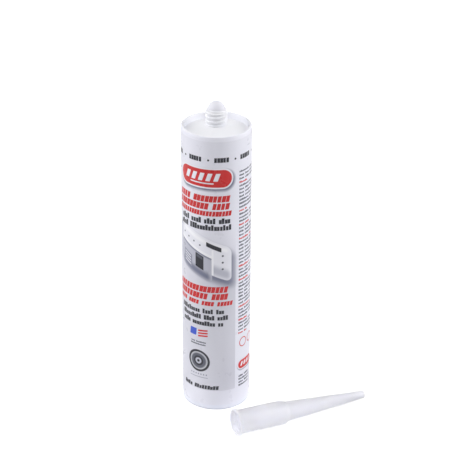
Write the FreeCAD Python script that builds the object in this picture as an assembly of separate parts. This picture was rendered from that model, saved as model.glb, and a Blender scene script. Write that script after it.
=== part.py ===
import FreeCAD, Part
import math
import os

from FreeCAD import Vector

# A caulking cartridge that stands on its open rear end, with its loose nozzle lying beside it.
# Millimetres. +Z is the cartridge's axis and points to its neck. The origin is the centre of the rear
# end. The front of the print faces -Y, and +X is to the right of someone who looks at it.

# Barrel, one moulding: an open rear end, a long wall, a rim round a sunk coned head, and the neck
BARREL_RADIUS = 24.65
BARREL_HEIGHT = 216.6
BARREL_WALL = 1.45
BARREL_EDGE_CHAMFER = 0.3
REAR_BORE_STEP = 0.25
REAR_BORE_LENGTH = 12.0

RIM_WIDTH = 1.70
RIM_DEPTH = 5.0
HEAD_RISE = 5.4
HEAD_THICKNESS = 1.6
HEAD_CORNER_CHAMFER = 0.5

# Neck, with its outside thread and the closed tip that is cut off before use
NECK_RADIUS = 7.05
NECK_LENGTH = 11.1
NECK_EDGE_CHAMFER = 0.2
TIP_RADIUS = 6.1
TIP_HEIGHT = 5.5
TIP_WALL = 1.0

THREAD_PITCH = 3.0
THREAD_DEPTH = 0.70
THREAD_CREST_WIDTH = 0.9
THREAD_FLANK_ANGLE = 30.0
THREAD_LENGTH = 9.9
THREAD_FRONT_CREST = 0.35

# Label, a thin film wrapped once round the barrel, with its two ends nearly meeting at the back
LABEL_THICKNESS = 0.08
LABEL_GLUE = 0.05
LABEL_REAR_MARGIN = 4.0
LABEL_RIM_MARGIN = 3.4
LABEL_SEAM_GAP = 1.5

# Paste, 290 ml of it, which fills the bore from the piston to the head, and the inside of the neck
PASTE_LENGTH = 168.8
PASTE_CLEARANCE = 0.05

# Piston, a cup that opens to the rear, with a wiping lip at each end and a flat crown
PISTON_CLEARANCE = 0.04
PISTON_PASTE_GAP = 0.2
PISTON_HEIGHT = 24.0
PISTON_LIP_HEIGHT = 3.0
PISTON_LIP_TAPER = 1.2
PISTON_WAIST_DEPTH = 0.9
PISTON_WALL = 1.5
PISTON_CROWN_THICKNESS = 1.7
PISTON_RING_RADIUS = 13.0
PISTON_RING_WIDTH = 1.4
PISTON_RING_HEIGHT = 6.0
PISTON_CORNER_CHAMFER = 0.5

# Nozzle: a flange, a collar that screws over the neck, a short shoulder and a long cone to the mouth
FLANGE_RADIUS = 10.2
FLANGE_THICKNESS = 1.8
FLANGE_EDGE_CHAMFER = 0.3
COLLAR_RADIUS = 8.65
COLLAR_END = 37.9
SHOULDER_LENGTH = 2.5
CONE_RADIUS = 7.25
NOZZLE_LENGTH = 105.4
NOZZLE_TIP_RADIUS = 2.65
NOZZLE_WALL = 1.15

SOCKET_CLEARANCE = 0.20
SOCKET_DEPTH = 18.5
SOCKET_LEAD_LENGTH = 1.4
SOCKET_LEAD_STEP = 0.35
SOCKET_THREAD_START = 2.6
SOCKET_THREAD_END = 13.5
SOCKET_EDGE_CHAMFER = 0.2

# Where the nozzle lies: the centre of its flange face on the ground, and the way that it points
NOZZLE_X = 13.84
NOZZLE_Y = -57.69
NOZZLE_HEADING = 25.6

# How far a feature runs into the material that carries it, so that the two become one
SINK = 0.3


def turned(corners):
    """Solid of revolution about the Z axis, from the (radius, height) corners of its section."""
    points = [Vector(radius, 0, height) for radius, height in corners]
    face = Part.Face(Part.makePolygon(points + points[:1]))
    return face.revolve(Vector(0, 0, 0), Vector(0, 0, 1), 360)


def ball(radius, height):
    """Sphere on the Z axis."""
    return Part.makeSphere(radius, Vector(0, 0, height))


def helical_ridge(wall_radius, crest_radius, low, high, crest_at_front):
    """Ridge of a right-hand thread that stands on a round wall, longer than the stretch it serves."""
    outward = 1 if crest_radius > wall_radius else -1
    depth = abs(crest_radius - wall_radius)
    slope = math.tan(math.radians(THREAD_FLANK_ANGLE))
    foot_radius = wall_radius - outward * SINK
    foot_half = THREAD_CREST_WIDTH / 2 + (depth + SINK) * slope
    top_radius = crest_radius + outward * SINK
    top_half = THREAD_CREST_WIDTH / 2 - SINK * slope
    turns_below = math.ceil((crest_at_front - low) / THREAD_PITCH) + 1
    start = crest_at_front - turns_below * THREAD_PITCH
    length = math.ceil((high - start) / THREAD_PITCH + 1) * THREAD_PITCH
    path = Part.Wire(Part.makeLongHelix(THREAD_PITCH, length, wall_radius))
    section = Part.makePolygon([
        Vector(foot_radius, 0, -foot_half), Vector(top_radius, 0, -top_half),
        Vector(top_radius, 0, top_half), Vector(foot_radius, 0, foot_half),
        Vector(foot_radius, 0, -foot_half)])
    ridge = path.makePipeShell([section], True, True)
    ridge.rotate(Vector(0, 0, 0), Vector(0, 0, 1), -90)
    ridge.translate(Vector(0, 0, start))
    return ridge


# Heights and radii that several pieces share
bore_radius = BARREL_RADIUS - BARREL_WALL
rim_inner_radius = BARREL_RADIUS - RIM_WIDTH
head_edge = BARREL_HEIGHT - RIM_DEPTH
head_slope = HEAD_RISE / (rim_inner_radius - NECK_RADIUS)
head_top = head_edge + HEAD_RISE
neck_top = head_top + NECK_LENGTH
tip_centre = neck_top + TIP_HEIGHT - TIP_RADIUS
neck_bore_radius = TIP_RADIUS - TIP_WALL
bore_end = head_edge - HEAD_THICKNESS + (rim_inner_radius - bore_radius) * head_slope
neck_bore_start = bore_end + (bore_radius - neck_bore_radius) * head_slope
thread_crest_radius = NECK_RADIUS + THREAD_DEPTH

paste_rear = bore_end - PASTE_LENGTH
piston_radius = bore_radius - PISTON_CLEARANCE
piston_crown = paste_rear - PISTON_PASTE_GAP
piston_rear = piston_crown - PISTON_HEIGHT


def make_barrel():
    outside = turned([
        (0, 0),
        (BARREL_RADIUS - BARREL_EDGE_CHAMFER, 0),
        (BARREL_RADIUS, BARREL_EDGE_CHAMFER),
        (BARREL_RADIUS, BARREL_HEIGHT - BARREL_EDGE_CHAMFER),
        (BARREL_RADIUS - BARREL_EDGE_CHAMFER, BARREL_HEIGHT),
        (rim_inner_radius + BARREL_EDGE_CHAMFER, BARREL_HEIGHT),
        (rim_inner_radius, BARREL_HEIGHT - BARREL_EDGE_CHAMFER),
        (rim_inner_radius, head_edge + HEAD_CORNER_CHAMFER),
        (rim_inner_radius - HEAD_CORNER_CHAMFER, head_edge + HEAD_CORNER_CHAMFER * head_slope),
        (NECK_RADIUS, head_top),
        (NECK_RADIUS, neck_top - NECK_EDGE_CHAMFER),
        (NECK_RADIUS - NECK_EDGE_CHAMFER, neck_top),
        (0, neck_top)])
    rear_radius = bore_radius + REAR_BORE_STEP
    hollow = turned([
        (0, 0),
        (rear_radius, 0),
        (rear_radius, REAR_BORE_LENGTH),
        (bore_radius, REAR_BORE_LENGTH + REAR_BORE_STEP),
        (bore_radius, bore_end),
        (neck_bore_radius, neck_bore_start),
        (neck_bore_radius, tip_centre),
        (0, tip_centre)])
    low = head_top - HEAD_THICKNESS / 2
    high = head_top + THREAD_LENGTH
    envelope = turned([
        (neck_bore_radius + SINK, low),
        (thread_crest_radius, low),
        (thread_crest_radius, high - THREAD_DEPTH),
        (NECK_RADIUS, high),
        (neck_bore_radius + SINK, high)])
    ridge = helical_ridge(NECK_RADIUS, thread_crest_radius, low, high, head_top + THREAD_FRONT_CREST)
    solid = outside.fuse([ball(TIP_RADIUS, tip_centre), ridge.common(envelope)])
    return solid.cut([hollow, ball(neck_bore_radius, tip_centre)])


def make_label():
    length = BARREL_HEIGHT - LABEL_REAR_MARGIN - LABEL_RIM_MARGIN
    foot = Vector(0, 0, LABEL_REAR_MARGIN)
    inner_radius = BARREL_RADIUS + LABEL_GLUE
    outer_radius = inner_radius + LABEL_THICKNESS
    seam_corner = Vector(-LABEL_SEAM_GAP / 2, 0, LABEL_REAR_MARGIN)
    film = Part.makeCylinder(outer_radius, length, foot)
    inside = Part.makeCylinder(inner_radius, length, foot)
    seam = Part.makeBox(LABEL_SEAM_GAP, 2 * outer_radius, length, seam_corner)
    return film.cut([inside, seam])


def make_sealant():
    radius = bore_radius - PASTE_CLEARANCE
    neck_radius = neck_bore_radius - PASTE_CLEARANCE
    column = turned([
        (0, paste_rear),
        (radius, paste_rear),
        (radius, bore_end - PASTE_CLEARANCE),
        (neck_radius, neck_bore_start - PASTE_CLEARANCE),
        (neck_radius, tip_centre),
        (0, tip_centre)])
    return column.fuse(ball(neck_radius, tip_centre))


def make_piston():
    waist = piston_radius - PISTON_WAIST_DEPTH
    inside = waist - PISTON_WALL
    roof = piston_crown - PISTON_CROWN_THICKNESS
    front_lip = piston_crown - PISTON_LIP_HEIGHT
    rear_lip = piston_rear + PISTON_LIP_HEIGHT
    cup = turned([
        (0, piston_crown),
        (0, roof),
        (inside - PISTON_CORNER_CHAMFER, roof),
        (inside, roof - PISTON_CORNER_CHAMFER),
        (inside, piston_rear),
        (waist, piston_rear),
        (piston_radius, piston_rear + PISTON_LIP_TAPER),
        (piston_radius, rear_lip),
        (waist, rear_lip + PISTON_LIP_TAPER),
        (waist, front_lip - PISTON_LIP_TAPER),
        (piston_radius, front_lip),
        (piston_radius, piston_crown)])
    ring_inside = PISTON_RING_RADIUS - PISTON_RING_WIDTH
    ring = turned([
        (ring_inside, roof - PISTON_RING_HEIGHT),
        (PISTON_RING_RADIUS, roof - PISTON_RING_HEIGHT),
        (PISTON_RING_RADIUS, roof + SINK),
        (ring_inside, roof + SINK)])
    return cup.fuse(ring)


def make_nozzle():
    groove_radius = thread_crest_radius + SOCKET_CLEARANCE
    ridge_radius = NECK_RADIUS + SOCKET_CLEARANCE
    lead_radius = groove_radius + SOCKET_LEAD_STEP
    collar_bore = COLLAR_RADIUS - NOZZLE_WALL
    cone_start = COLLAR_END + SHOULDER_LENGTH
    body = turned([
        (lead_radius, SOCKET_EDGE_CHAMFER),
        (lead_radius + SOCKET_EDGE_CHAMFER, 0),
        (FLANGE_RADIUS - FLANGE_EDGE_CHAMFER, 0),
        (FLANGE_RADIUS, FLANGE_EDGE_CHAMFER),
        (FLANGE_RADIUS, FLANGE_THICKNESS),
        (COLLAR_RADIUS, FLANGE_THICKNESS),
        (COLLAR_RADIUS, COLLAR_END),
        (CONE_RADIUS, cone_start),
        (NOZZLE_TIP_RADIUS, NOZZLE_LENGTH),
        (NOZZLE_TIP_RADIUS - NOZZLE_WALL, NOZZLE_LENGTH),
        (CONE_RADIUS - NOZZLE_WALL, cone_start),
        (collar_bore, COLLAR_END),
        (collar_bore, SOCKET_DEPTH),
        (groove_radius, SOCKET_DEPTH),
        (groove_radius, SOCKET_LEAD_LENGTH + SOCKET_LEAD_STEP),
        (lead_radius, SOCKET_LEAD_LENGTH)])
    envelope = turned([
        (ridge_radius, SOCKET_THREAD_START + THREAD_DEPTH),
        (groove_radius, SOCKET_THREAD_START),
        (groove_radius + SINK, SOCKET_THREAD_START),
        (groove_radius + SINK, SOCKET_THREAD_END),
        (groove_radius, SOCKET_THREAD_END),
        (ridge_radius, SOCKET_THREAD_END - THREAD_DEPTH)])
    ridge = helical_ridge(groove_radius, ridge_radius, SOCKET_THREAD_START, SOCKET_THREAD_END,
                          SOCKET_THREAD_START)
    nozzle = body.fuse(ridge.common(envelope))
    tilt = math.atan2(FLANGE_RADIUS - COLLAR_RADIUS, COLLAR_END - FLANGE_THICKNESS)
    face_height = FLANGE_RADIUS * math.cos(tilt) + FLANGE_THICKNESS * math.sin(tilt)
    nozzle.rotate(Vector(0, 0, 0), Vector(0, 1, 0), 90 + math.degrees(tilt))
    nozzle.rotate(Vector(0, 0, 0), Vector(0, 0, 1), NOZZLE_HEADING)
    nozzle.translate(Vector(NOZZLE_X, NOZZLE_Y, face_height))
    return nozzle


pieces = {
    "barrel": make_barrel(),
    "label": make_label(),
    "sealant": make_sealant(),
    "piston": make_piston(),
    "nozzle": make_nozzle(),
}

os.makedirs("parts", exist_ok=True)
for name, shape in pieces.items():
    shape.exportStep("parts/" + name + ".step")
    print(name, "solids", len(shape.Solids), "valid", shape.isValid(),
          "volume", round(shape.Volume / 1000, 2), "ml", "type", shape.ShapeType)
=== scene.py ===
import math

import bmesh
import bpy
from bpy.props import FloatProperty, FloatVectorProperty, PointerProperty
from mathutils import Matrix, Vector


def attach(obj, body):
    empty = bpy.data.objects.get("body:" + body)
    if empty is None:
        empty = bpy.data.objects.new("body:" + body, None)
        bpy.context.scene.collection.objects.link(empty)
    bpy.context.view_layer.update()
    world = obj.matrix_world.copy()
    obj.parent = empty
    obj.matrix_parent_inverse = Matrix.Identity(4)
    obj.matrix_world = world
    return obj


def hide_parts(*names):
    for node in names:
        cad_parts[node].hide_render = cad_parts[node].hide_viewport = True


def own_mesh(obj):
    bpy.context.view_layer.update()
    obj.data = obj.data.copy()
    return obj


bl_info = {
    "name": "Caulk Tube",
    "version": (1, 0, 0),
    "blender": (4, 5, 0),
    "location": "3D View > Sidebar > Caulk Tube",
    "description": "Builds a printed caulking cartridge that stands on its rear end, and its loose nozzle",
    "category": "Object",
}

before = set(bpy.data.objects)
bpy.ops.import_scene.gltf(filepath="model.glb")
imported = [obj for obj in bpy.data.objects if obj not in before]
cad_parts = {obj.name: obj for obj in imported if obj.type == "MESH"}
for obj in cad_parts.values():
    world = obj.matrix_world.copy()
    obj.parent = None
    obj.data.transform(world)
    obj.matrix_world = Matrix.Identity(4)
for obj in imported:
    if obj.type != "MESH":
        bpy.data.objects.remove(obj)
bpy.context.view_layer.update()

MM = 0.001
TURN = 2 * math.pi
WAVE_TURN = 20.0    # the Wave texture's own factor: its rings are TURN / 20 / scale apart
FLANK = math.radians(30)    # slope of a thread's flanks
OVERLAP = 0.3 * MM    # how far a thread's ridge runs into the wall that it joins
NEAR = 0.002 * MM    # points nearer than this are one point


def linear(code):
    """A colour written as sRGB hex, as the linear red, green, blue and alpha that Blender takes."""
    shares = [int(code[i:i + 2], 16) / 255 for i in (0, 2, 4)]
    return [c / 12.92 if c <= 0.04045 else ((c + 0.055) / 1.055) ** 2.4 for c in shares] + [1.0]


def size(name, millimetres, description):
    return FloatProperty(name=name, description=description, default=millimetres * MM, min=0.0,
                         unit="LENGTH", precision=5)


def colour(name, code, description):
    return FloatVectorProperty(name=name, description=description, default=linear(code), size=4,
                               min=0.0, max=1.0, subtype="COLOR")


# Settings


class BarrelSettings(bpy.types.PropertyGroup):
    radius: size("Radius", 24.65, "Outside radius of the barrel")
    height: size("Height", 216.6, "From the open rear end to the top of the rim")
    wall: size("Wall", 1.45, "Thickness of the barrel's wall")
    rear_step: size("Rear Step", 0.25, "How much wider the mouth of the bore is")
    rear_length: size("Rear Length", 12.0, "Length of the wider mouth")
    rim_width: size("Rim Width", 1.70, "Width of the rim's flat top")
    rim_depth: size("Rim Depth", 5.0, "From the rim down to the edge of the head")
    head_rise: size("Head Rise", 5.4, "How far the coned head climbs to the neck")
    head_thickness: size("Head Thickness", 1.6, "Thickness of the coned head")
    neck_radius: size("Neck Radius", 7.05, "Radius of the neck under its thread")
    neck_length: size("Neck Length", 11.1, "From the head to the neck's shoulder")
    tip_radius: size("Tip Radius", 6.1, "Radius of the round closed tip")
    tip_height: size("Tip Height", 5.5, "How far the tip stands above the neck")
    tip_wall: size("Tip Wall", 1.0, "Thickness of the closed tip")
    thread_pitch: size("Thread Pitch", 3.0, "Climb of the thread in one turn")
    thread_depth: size("Thread Depth", 0.70, "How far the thread stands out")
    thread_crest: size("Thread Crest", 0.9, "Width of the thread's flat crest")
    thread_length: size("Thread Length", 9.9, "Length of the neck that has thread")
    thread_rise: size("Thread Rise", 0.35, "Height of a crest at the front, above the head")
    rounding: size("Edge Rounding", 0.45, "Radius of the moulded edges")
    plastic: colour("Plastic", "F4F4FB", "White polyethylene of the head and the neck")
    # painted shade: the outer wall and the tip are painted a darker, cooler white than the head
    wall_and_tip_painted_shade: colour("Wall And Tip Painted Shade", "EDEDF8", "The same plastic on the wall and the tip, cooler")
    # painted shade: the rear end, which has no paste behind it, is painted darker and greyer
    rear_painted_shade: colour("Rear Painted Shade", "E0E2EC", "The same plastic where no paste is behind it")


class LabelSettings(bpy.types.PropertyGroup):
    thickness: size("Thickness", 0.08, "Thickness of the film")
    glue: size("Glue", 0.05, "Thickness of the glue under the film")
    rear_margin: size("Rear Margin", 4.0, "Bare barrel below the film")
    rim_margin: size("Rim Margin", 3.4, "Bare barrel above the film")
    seam: size("Seam Gap", 1.5, "Gap between the film's two ends at the back")
    film: colour("Film", "E6E6F0", "White of the unprinted film")
    # painted shade: the film is painted darker towards the rear end
    rear_film_painted_shade: colour("Rear Film Painted Shade", "E0E0EA", "The same film where no paste is behind it")
    ground: colour("Ground", "D1D1DB", "Grey field behind the front print")
    red: colour("Red Ink", "CB2425", "Ink of the headings")
    black: colour("Black Ink", "2A2B34", "Ink of the bold lines")
    grey: colour("Grey Ink", "565966", "Ink of the small print")
    blue: colour("Blue Ink", "3D5ACA", "Ink of the small square")


class NozzleSettings(bpy.types.PropertyGroup):
    flange_radius: size("Flange Radius", 10.2, "Radius of the flange")
    flange_thickness: size("Flange Thickness", 1.8, "Thickness of the flange")
    collar_radius: size("Collar Radius", 8.65, "Radius of the collar")
    collar_end: size("Collar End", 37.9, "From the flange's face to the end of the collar")
    shoulder: size("Shoulder", 2.5, "Length of the step from the collar to the cone")
    cone_radius: size("Cone Radius", 7.25, "Radius of the cone's thick end")
    length: size("Length", 105.4, "Whole length of the nozzle")
    tip_radius: size("Tip Radius", 2.65, "Radius of the cone's thin end")
    wall: size("Wall", 1.15, "Thickness of the nozzle's wall")
    socket_depth: size("Socket Depth", 18.5, "Depth of the threaded socket")
    mouth: size("Mouth Depth", 1.4, "Depth of the plain mouth of the socket")
    lead_in: size("Lead-in", 0.35, "How much wider the mouth is than the thread's groove")
    thread_gap: size("Thread Gap", 0.20, "Gap between the nozzle's thread and the neck's")
    thread_start: size("Thread Start", 2.6, "From the flange's face to the start of the thread")
    thread_end: size("Thread End", 13.5, "From the flange's face to the end of the thread")
    place: FloatVectorProperty(name="Place", description="Where the flange's middle is on the ground",
                               default=(13.84 * MM, -57.69 * MM), size=2, subtype="TRANSLATION",
                               unit="LENGTH")
    heading: FloatProperty(name="Heading", description="Where the cone points, from the X axis",
                           default=math.radians(25.6), unit="ROTATION")
    plastic: colour("Plastic", "F8F8FE", "Milky polyethylene of the nozzle")
    # painted shade: the flange's face and the socket are painted darker
    mouth_painted_shade: colour("Mouth Painted Shade", "F4F4FC", "The same, on the flange's face and in the socket")


class PistonSettings(bpy.types.PropertyGroup):
    height: size("Height", 24.0, "Height of the piston")
    waist: size("Waist Depth", 0.9, "How far the waist is set back between the lips")
    wall: size("Wall", 1.5, "Thickness of the piston's wall")
    crown: size("Crown", 1.7, "Thickness of the crown")
    lip: size("Lip", 3.0, "Length of each wiping lip")
    taper: size("Taper", 1.2, "Length of the slope from a lip to the waist")
    fit: size("Fit", 0.04, "Gap between the lips and the bore")
    paste_gap: size("Paste Gap", 0.2, "Gap between the crown and the paste")
    ring_radius: size("Ring Radius", 13.0, "Radius of the stiffening ring")
    ring_wall: size("Ring Wall", 1.4, "Thickness of the stiffening ring")
    ring_depth: size("Ring Depth", 6.0, "How far the ring stands out from the crown")
    plastic: colour("Plastic", "E4E6EA", "Polyethylene of the piston")


class PasteSettings(bpy.types.PropertyGroup):
    length: size("Length", 168.8, "Length of the column of paste")
    clearance: size("Clearance", 0.05, "Gap between the paste and the bore in the model")
    body: colour("Paste", "F1F0EC", "White of the paste")


class StageSettings(bpy.types.PropertyGroup):
    side_power: FloatProperty(name="Side Power", description="Power of each side softbox in watts",
                              default=10.0, min=0.0)
    back_power: FloatProperty(name="Back Power", description="Power of the back softbox in watts",
                              default=2.8, min=0.0)
    top_power: FloatProperty(name="Top Power", description="Power of the top softbox in watts",
                             default=1.1, min=0.0)
    front_power: FloatProperty(name="Front Power", description="Power of the front softbox in watts",
                               default=5.9, min=0.0)
    table_power: FloatProperty(name="Table Power", description="Power of the light table in watts",
                               default=0.041, min=0.0)
    room_light: FloatProperty(name="Room Light", description="Strength of the light from the white room",
                              default=0.11, min=0.0)
    lens: FloatProperty(name="Lens", description="Focal length in millimetres on a 36 mm wide sensor",
                        default=129.51, min=1.0)
    floor: colour("Floor", "F4F4F6", "White studio board under the object")


# Modelling, as by hand


def choose(piece, wanted):
    """Selects the vertices whose place passes a test, in edit mode."""
    mesh = bmesh.from_edit_mesh(piece.data)
    for vertex in mesh.verts:
        vertex.select_set(wanted(vertex.co))
    mesh.select_flush_mode()
    bmesh.update_edit_mesh(piece.data)


def drawn(name, points, closed=False, azimuth=0.0, rounded=()):
    """An outline of (radius, height) points in the half plane at an azimuth, left in edit mode.
    Its corners listed in rounded, as (point number, radius), are rounded."""
    bpy.ops.object.select_all(action="DESELECT")
    bpy.ops.mesh.primitive_plane_add(size=MM)
    piece = bpy.context.object
    piece.name = piece.data.name = name
    bpy.ops.object.mode_set(mode="EDIT")
    bpy.ops.mesh.select_mode(type="VERT")
    bpy.ops.mesh.merge(type="CENTER")
    places = [Vector((r * math.cos(azimuth), r * math.sin(azimuth), h)) for r, h in points]
    bpy.ops.transform.translate(value=places[0])
    for here, there in zip(places, places[1:]):
        bpy.ops.mesh.extrude_vertices_move(TRANSFORM_OT_translate={"value": there - here})
    if closed:
        choose(piece, lambda p: min((p - places[0]).length, (p - places[-1]).length) < NEAR)
        bpy.ops.mesh.edge_face_add()
    for number, radius in rounded:
        choose(piece, lambda p: (p - places[number]).length < NEAR)
        bpy.ops.mesh.bevel(offset=radius, segments=4, affect="VERTICES")
    return piece


def spun(piece, steps, sweep=TURN):
    """Spins the outline about the Z axis, and makes it one closed shell that faces outwards."""
    bpy.ops.mesh.select_all(action="SELECT")
    bpy.ops.mesh.spin(steps=steps, angle=sweep, center=(0, 0, 0), axis=(0, 0, 1))
    bpy.ops.mesh.select_all(action="SELECT")
    bpy.ops.mesh.remove_doubles(threshold=NEAR)
    bpy.ops.mesh.fill_holes(sides=8)
    bpy.ops.mesh.normals_make_consistent(inside=False)
    bpy.ops.object.mode_set(mode="OBJECT")
    return piece


def active(piece):
    bpy.ops.object.select_all(action="DESELECT")
    piece.select_set(True)
    bpy.context.view_layer.objects.active = piece


def combined(piece, other, operation):
    """Joins, cuts or keeps the shared part of two closed pieces, and removes the second."""
    active(piece)
    modifier = piece.modifiers.new("Combine", "BOOLEAN")
    modifier.operation, modifier.solver, modifier.object = operation, "MANIFOLD", other
    bpy.ops.object.modifier_apply(modifier=modifier.name)
    bpy.data.objects.remove(other)
    return piece


def helical_ridge(foot, crest, crest_width, pitch, at_front, turns):
    """A right-hand thread as a closed ridge, from its foot inside the wall to past its crest. It
    crosses the front at a height, three quarters of a turn on from where its outline is drawn."""
    start = at_front - 0.75 * pitch
    crest_half = crest_width / 2 - OVERLAP * math.tan(FLANK)
    foot_half = crest_half + abs(crest - foot) * math.tan(FLANK)
    piece = drawn("ridge", [(foot, start - foot_half), (crest, start - crest_half),
                            (crest, start + crest_half), (foot, start + foot_half)], closed=True)
    bpy.ops.object.mode_set(mode="OBJECT")
    modifier = piece.modifiers.new("Helix", "SCREW")
    modifier.screw_offset, modifier.iterations = pitch, turns
    modifier.steps = modifier.render_steps = 72
    bpy.ops.object.modifier_apply(modifier=modifier.name)
    bpy.ops.object.mode_set(mode="EDIT")
    bpy.ops.mesh.select_all(action="SELECT")
    bpy.ops.mesh.fill_holes(sides=8)
    bpy.ops.mesh.normals_make_consistent(inside=False)
    bpy.ops.object.mode_set(mode="OBJECT")
    return piece


def done(piece, body, material, slot, *nodes):
    """Smooths a finished piece, gives it its material and its body, and hides the CAD nodes it stands for.
    """
    active(piece)
    bpy.ops.object.shade_smooth_by_angle(angle=math.radians(32))
    piece.data.materials.clear()
    piece.data.materials.append(material)
    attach(piece, body)
    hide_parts(*nodes)


# Materials

# Settings that many nodes share
TIMES, MINUS = {"operation": "MULTIPLY"}, {"operation": "SUBTRACT"}
BELOW, ABOVE = {"operation": "LESS_THAN"}, {"operation": "GREATER_THAN"}
SMOOTH, RGBA = {"interpolation_type": "SMOOTHSTEP"}, {"data_type": "RGBA"}


def node(tree, kind, settings, inputs):
    """Adds a node with its settings, and gives its outputs. An input is a value or another node's
    output, which is linked."""
    made = tree.nodes.new(kind)
    for name, value in settings.items():
        setattr(made, name, value)
    for name, value in inputs.items():
        if isinstance(value, bpy.types.NodeSocket):
            tree.links.new(value, made.inputs[name])
        else:
            made.inputs[name].default_value = value
    return made.outputs


def new_material(name):
    material = bpy.data.materials.new(name)
    material.use_nodes = True
    material.node_tree.nodes.clear()
    return material, material.node_tree


def new_group(name, inputs, outputs):
    """A node group for a printed shape, with its group input and group output."""
    group = bpy.data.node_groups.new(name, "ShaderNodeTree")
    for label in inputs:
        group.interface.new_socket(name=label, in_out="INPUT", socket_type="NodeSocketFloat")
    for label in outputs:
        group.interface.new_socket(name=label, in_out="OUTPUT", socket_type="NodeSocketFloat")
    return group, node(group, "NodeGroupInput", {}, {})


def label_position(radius):
    """Millimetres round the label from the middle of the front, and millimetres up."""
    group, _ = new_group("Label Position", [], ["Around", "Height"])
    place = node(group, "ShaderNodeTexCoord", {}, {})["Object"]
    part = node(group, "ShaderNodeSeparateXYZ", {}, {0: place})
    forward = node(group, "ShaderNodeMath", TIMES, {0: part["Y"], 1: -1.0})[0]
    angle = node(group, "ShaderNodeMath", {"operation": "ARCTAN2"}, {0: part["X"], 1: forward})[0]
    around = node(group, "ShaderNodeMath", TIMES, {0: angle, 1: radius / MM})[0]
    height = node(group, "ShaderNodeMath", TIMES, {0: part["Z"], 1: 1 / MM})[0]
    node(group, "NodeGroupOutput", {}, {"Around": around, "Height": height})
    return group


def printed_shape():
    """A box with round corners, a disc or a slanted panel. Soft widens its edge, as for a shadow."""
    group, given = new_group("Printed Shape", [
        "Around", "Height", "Middle", "Level", "Half Width", "Half Height", "Corner", "Lean", "Slope",
        "Soft"], ["Mask"])
    aside = node(group, "ShaderNodeMath", MINUS, {0: given["Around"], 1: given["Middle"]})[0]
    above = node(group, "ShaderNodeMath", MINUS, {0: given["Height"], 1: given["Level"]})[0]
    lean = node(group, "ShaderNodeMath", TIMES, {0: above, 1: given["Lean"]})[0]
    slope = node(group, "ShaderNodeMath", TIMES, {0: aside, 1: given["Slope"]})[0]
    across = node(group, "ShaderNodeMath", MINUS, {0: aside, 1: lean})[0]
    up = node(group, "ShaderNodeMath", MINUS, {0: above, 1: slope})[0]
    place = node(group, "ShaderNodeCombineXYZ", {}, {0: across, 1: up})[0]
    folded = node(group, "ShaderNodeVectorMath", {"operation": "ABSOLUTE"}, {0: place})[0]
    half = node(group, "ShaderNodeCombineXYZ", {}, {0: given["Half Width"], 1: given["Half Height"]})[0]
    corner = node(group, "ShaderNodeCombineXYZ", {}, {0: given["Corner"], 1: given["Corner"]})[0]
    core = node(group, "ShaderNodeVectorMath", MINUS, {0: half, 1: corner})[0]
    beyond = node(group, "ShaderNodeVectorMath", MINUS, {0: folded, 1: core})[0]
    outside = node(group, "ShaderNodeVectorMath", {"operation": "MAXIMUM"}, {0: beyond, 1: (0, 0, 0)})[0]
    length = node(group, "ShaderNodeVectorMath", {"operation": "LENGTH"}, {0: outside})["Value"]
    depth = node(group, "ShaderNodeMath", MINUS, {0: given["Corner"], 1: length})[0]
    spread = node(group, "ShaderNodeMath", {"operation": "DIVIDE"}, {0: depth, 1: given["Soft"]})[0]
    mask = node(group, "ShaderNodeMapRange", SMOOTH, {
        "Value": spread, "From Min": -1.0, "From Max": 1.0})[0]
    node(group, "NodeGroupOutput", {}, {"Mask": mask})
    return group


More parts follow.
